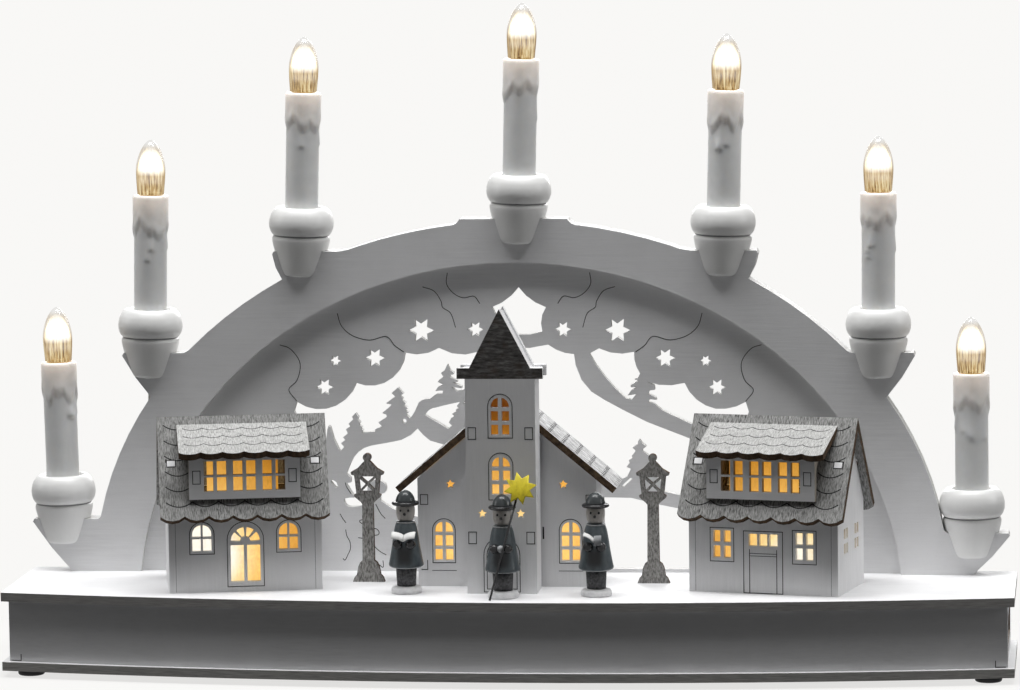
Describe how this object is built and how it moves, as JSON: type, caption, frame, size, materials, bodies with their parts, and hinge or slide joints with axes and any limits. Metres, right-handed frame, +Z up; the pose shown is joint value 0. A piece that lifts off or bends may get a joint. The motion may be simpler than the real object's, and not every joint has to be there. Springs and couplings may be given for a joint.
{
  "type": "candle arch lamp",
  "caption": "Stepped plywood candle arch with electric candles on a bowed box base, with cut-out clouds and firs, lit houses, a church, lamp posts and turned figures.",
  "frame": {"origin": "under the middle of the bounding box, at the table", "axes": "+X to the right along the base, +Y to the back, +Z up; the front with the village faces -Y"},
  "size_m": [0.45, 0.1046, 0.2963],
  "materials": {
    "white_paint": "white matt paint on plywood",
    "gloss_paint": "white gloss paint on turned wood",
    "grey_stain": "grey stain on plywood, laser-cut edges",
    "dark_stain": "dark grey stain on plywood",
    "post_stain": "dark stain on plywood",
    "figure_paint": "gloss paint on turned wood",
    "star_paint": "yellow paint on plywood",
    "candle_white": "white plastic tube with moulded wax drips",
    "bulb_glass": "clear fluted glass, lit warm",
    "window_film": "thin warm translucent film",
    "rubber": "black rubber",
    "black_plastic": "black moulded plastic",
    "switch_plastic": "white moulded plastic",
    "cell_metal": "plain metal jacket",
    "wire": "insulated wire"
  },
  "bodies": {
    "lamp": {"base_top": "white_paint", "base_bottom": "white_paint", "base_front": "white_paint", "base_back": "white_paint", "base_end_left": "white_paint", "base_end_right": "white_paint", "arch_ring_front": "white_paint", "silhouette_panel": "white_paint", "arch_ring_back": "white_paint", "church_nave": "white_paint", "church_tower": "white_paint", "foot_front_left": "rubber", "foot_front_right": "rubber", "foot_back_left": "rubber", "foot_back_right": "rubber", "battery_tray": "black_plastic", "aa_cell_1": "cell_metal", "aa_cell_2": "cell_metal", "wiring_loom": "wire", "cup_1": "gloss_paint", "candle_1": "candle_white", "cup_2": "gloss_paint", "candle_2": "candle_white", "cup_3": "gloss_paint", "candle_3": "candle_white", "cup_4": "gloss_paint", "candle_4": "candle_white", "cup_5": "gloss_paint", "candle_5": "candle_white", "cup_6": "gloss_paint", "candle_6": "candle_white", "cup_7": "gloss_paint", "candle_7": "candle_white", "house_left_walls": "white_paint", "house_left_dormer": "white_paint", "house_left_roof_front": "grey_stain", "house_left_roof_back": "grey_stain", "house_left_dormer_roof": "grey_stain", "house_right_walls": "white_paint", "house_right_dormer": "white_paint", "house_right_roof_front": "grey_stain", "house_right_roof_back": "grey_stain", "house_right_dormer_roof": "grey_stain", "church_nave_roof": "grey_stain", "church_spire": "dark_stain", "lamp_post_left": "post_stain", "lamp_post_right": "post_stain", "figure_left": "figure_paint", "figure_middle": "figure_paint", "figure_right": "figure_paint", "star_pole": "star_paint"},
    "bulb_1_body": {"bulb_1": "bulb_glass"},
    "bulb_2_body": {"bulb_2": "bulb_glass"},
    "bulb_3_body": {"bulb_3": "bulb_glass"},
    "bulb_4_body": {"bulb_4": "bulb_glass"},
    "bulb_5_body": {"bulb_5": "bulb_glass"},
    "bulb_6_body": {"bulb_6": "bulb_glass"},
    "bulb_7_body": {"bulb_7": "bulb_glass"},
    "switch": {"switch_slider": "switch_plastic"},
    "cover": {"battery_cover": "black_plastic"}
  },
  "joints": [
    {"name": "bulb_1_turn", "type": "hinge", "parent": "lamp", "child": "bulb_1_body", "pos_m": [-0.2096, 0.03765, 0.0623], "axis": [-0.0166, 0, 0.9999], "range_deg": [0, 1080]},
    {"name": "bulb_2_turn", "type": "hinge", "parent": "lamp", "child": "bulb_2_body", "pos_m": [-0.168, 0.03765, 0.1386], "axis": [0.0227, 0, 0.9997], "range_deg": [0, 1080]},
    {"name": "bulb_3_turn", "type": "hinge", "parent": "lamp", "child": "bulb_3_body", "pos_m": [-0.0977, 0.03765, 0.1848], "axis": [0.0332, 0, 0.9995], "range_deg": [0, 1080]},
    {"name": "bulb_4_turn", "type": "hinge", "parent": "lamp", "child": "bulb_4_body", "pos_m": [0.0017, 0.03765, 0.1993], "axis": [0.0314, 0, 0.9995], "range_deg": [0, 1080]},
    {"name": "bulb_5_turn", "type": "hinge", "parent": "lamp", "child": "bulb_5_body", "pos_m": [0.0938, 0.03765, 0.1848], "axis": [0.0297, 0, 0.9996], "range_deg": [0, 1080]},
    {"name": "bulb_6_turn", "type": "hinge", "parent": "lamp", "child": "bulb_6_body", "pos_m": [0.1634, 0.03765, 0.1386], "axis": [0.0052, 0, 1], "range_deg": [0, 1080]},
    {"name": "bulb_7_turn", "type": "hinge", "parent": "lamp", "child": "bulb_7_body", "pos_m": [0.2051, 0.03765, 0.0573], "axis": [-0.0035, 0, 1], "range_deg": [0, 1080]},
    {"name": "switch_slide", "type": "slide", "parent": "lamp", "child": "switch", "axis": [0, 1, 0], "range_m": [0, 0.004]},
    {"name": "battery_cover_hinge", "type": "hinge", "parent": "lamp", "child": "cover", "pos_m": [0.1597, 0.00615, 0.0038], "axis": [0, 1, 0], "range_deg": [0, 80]}
  ]
}
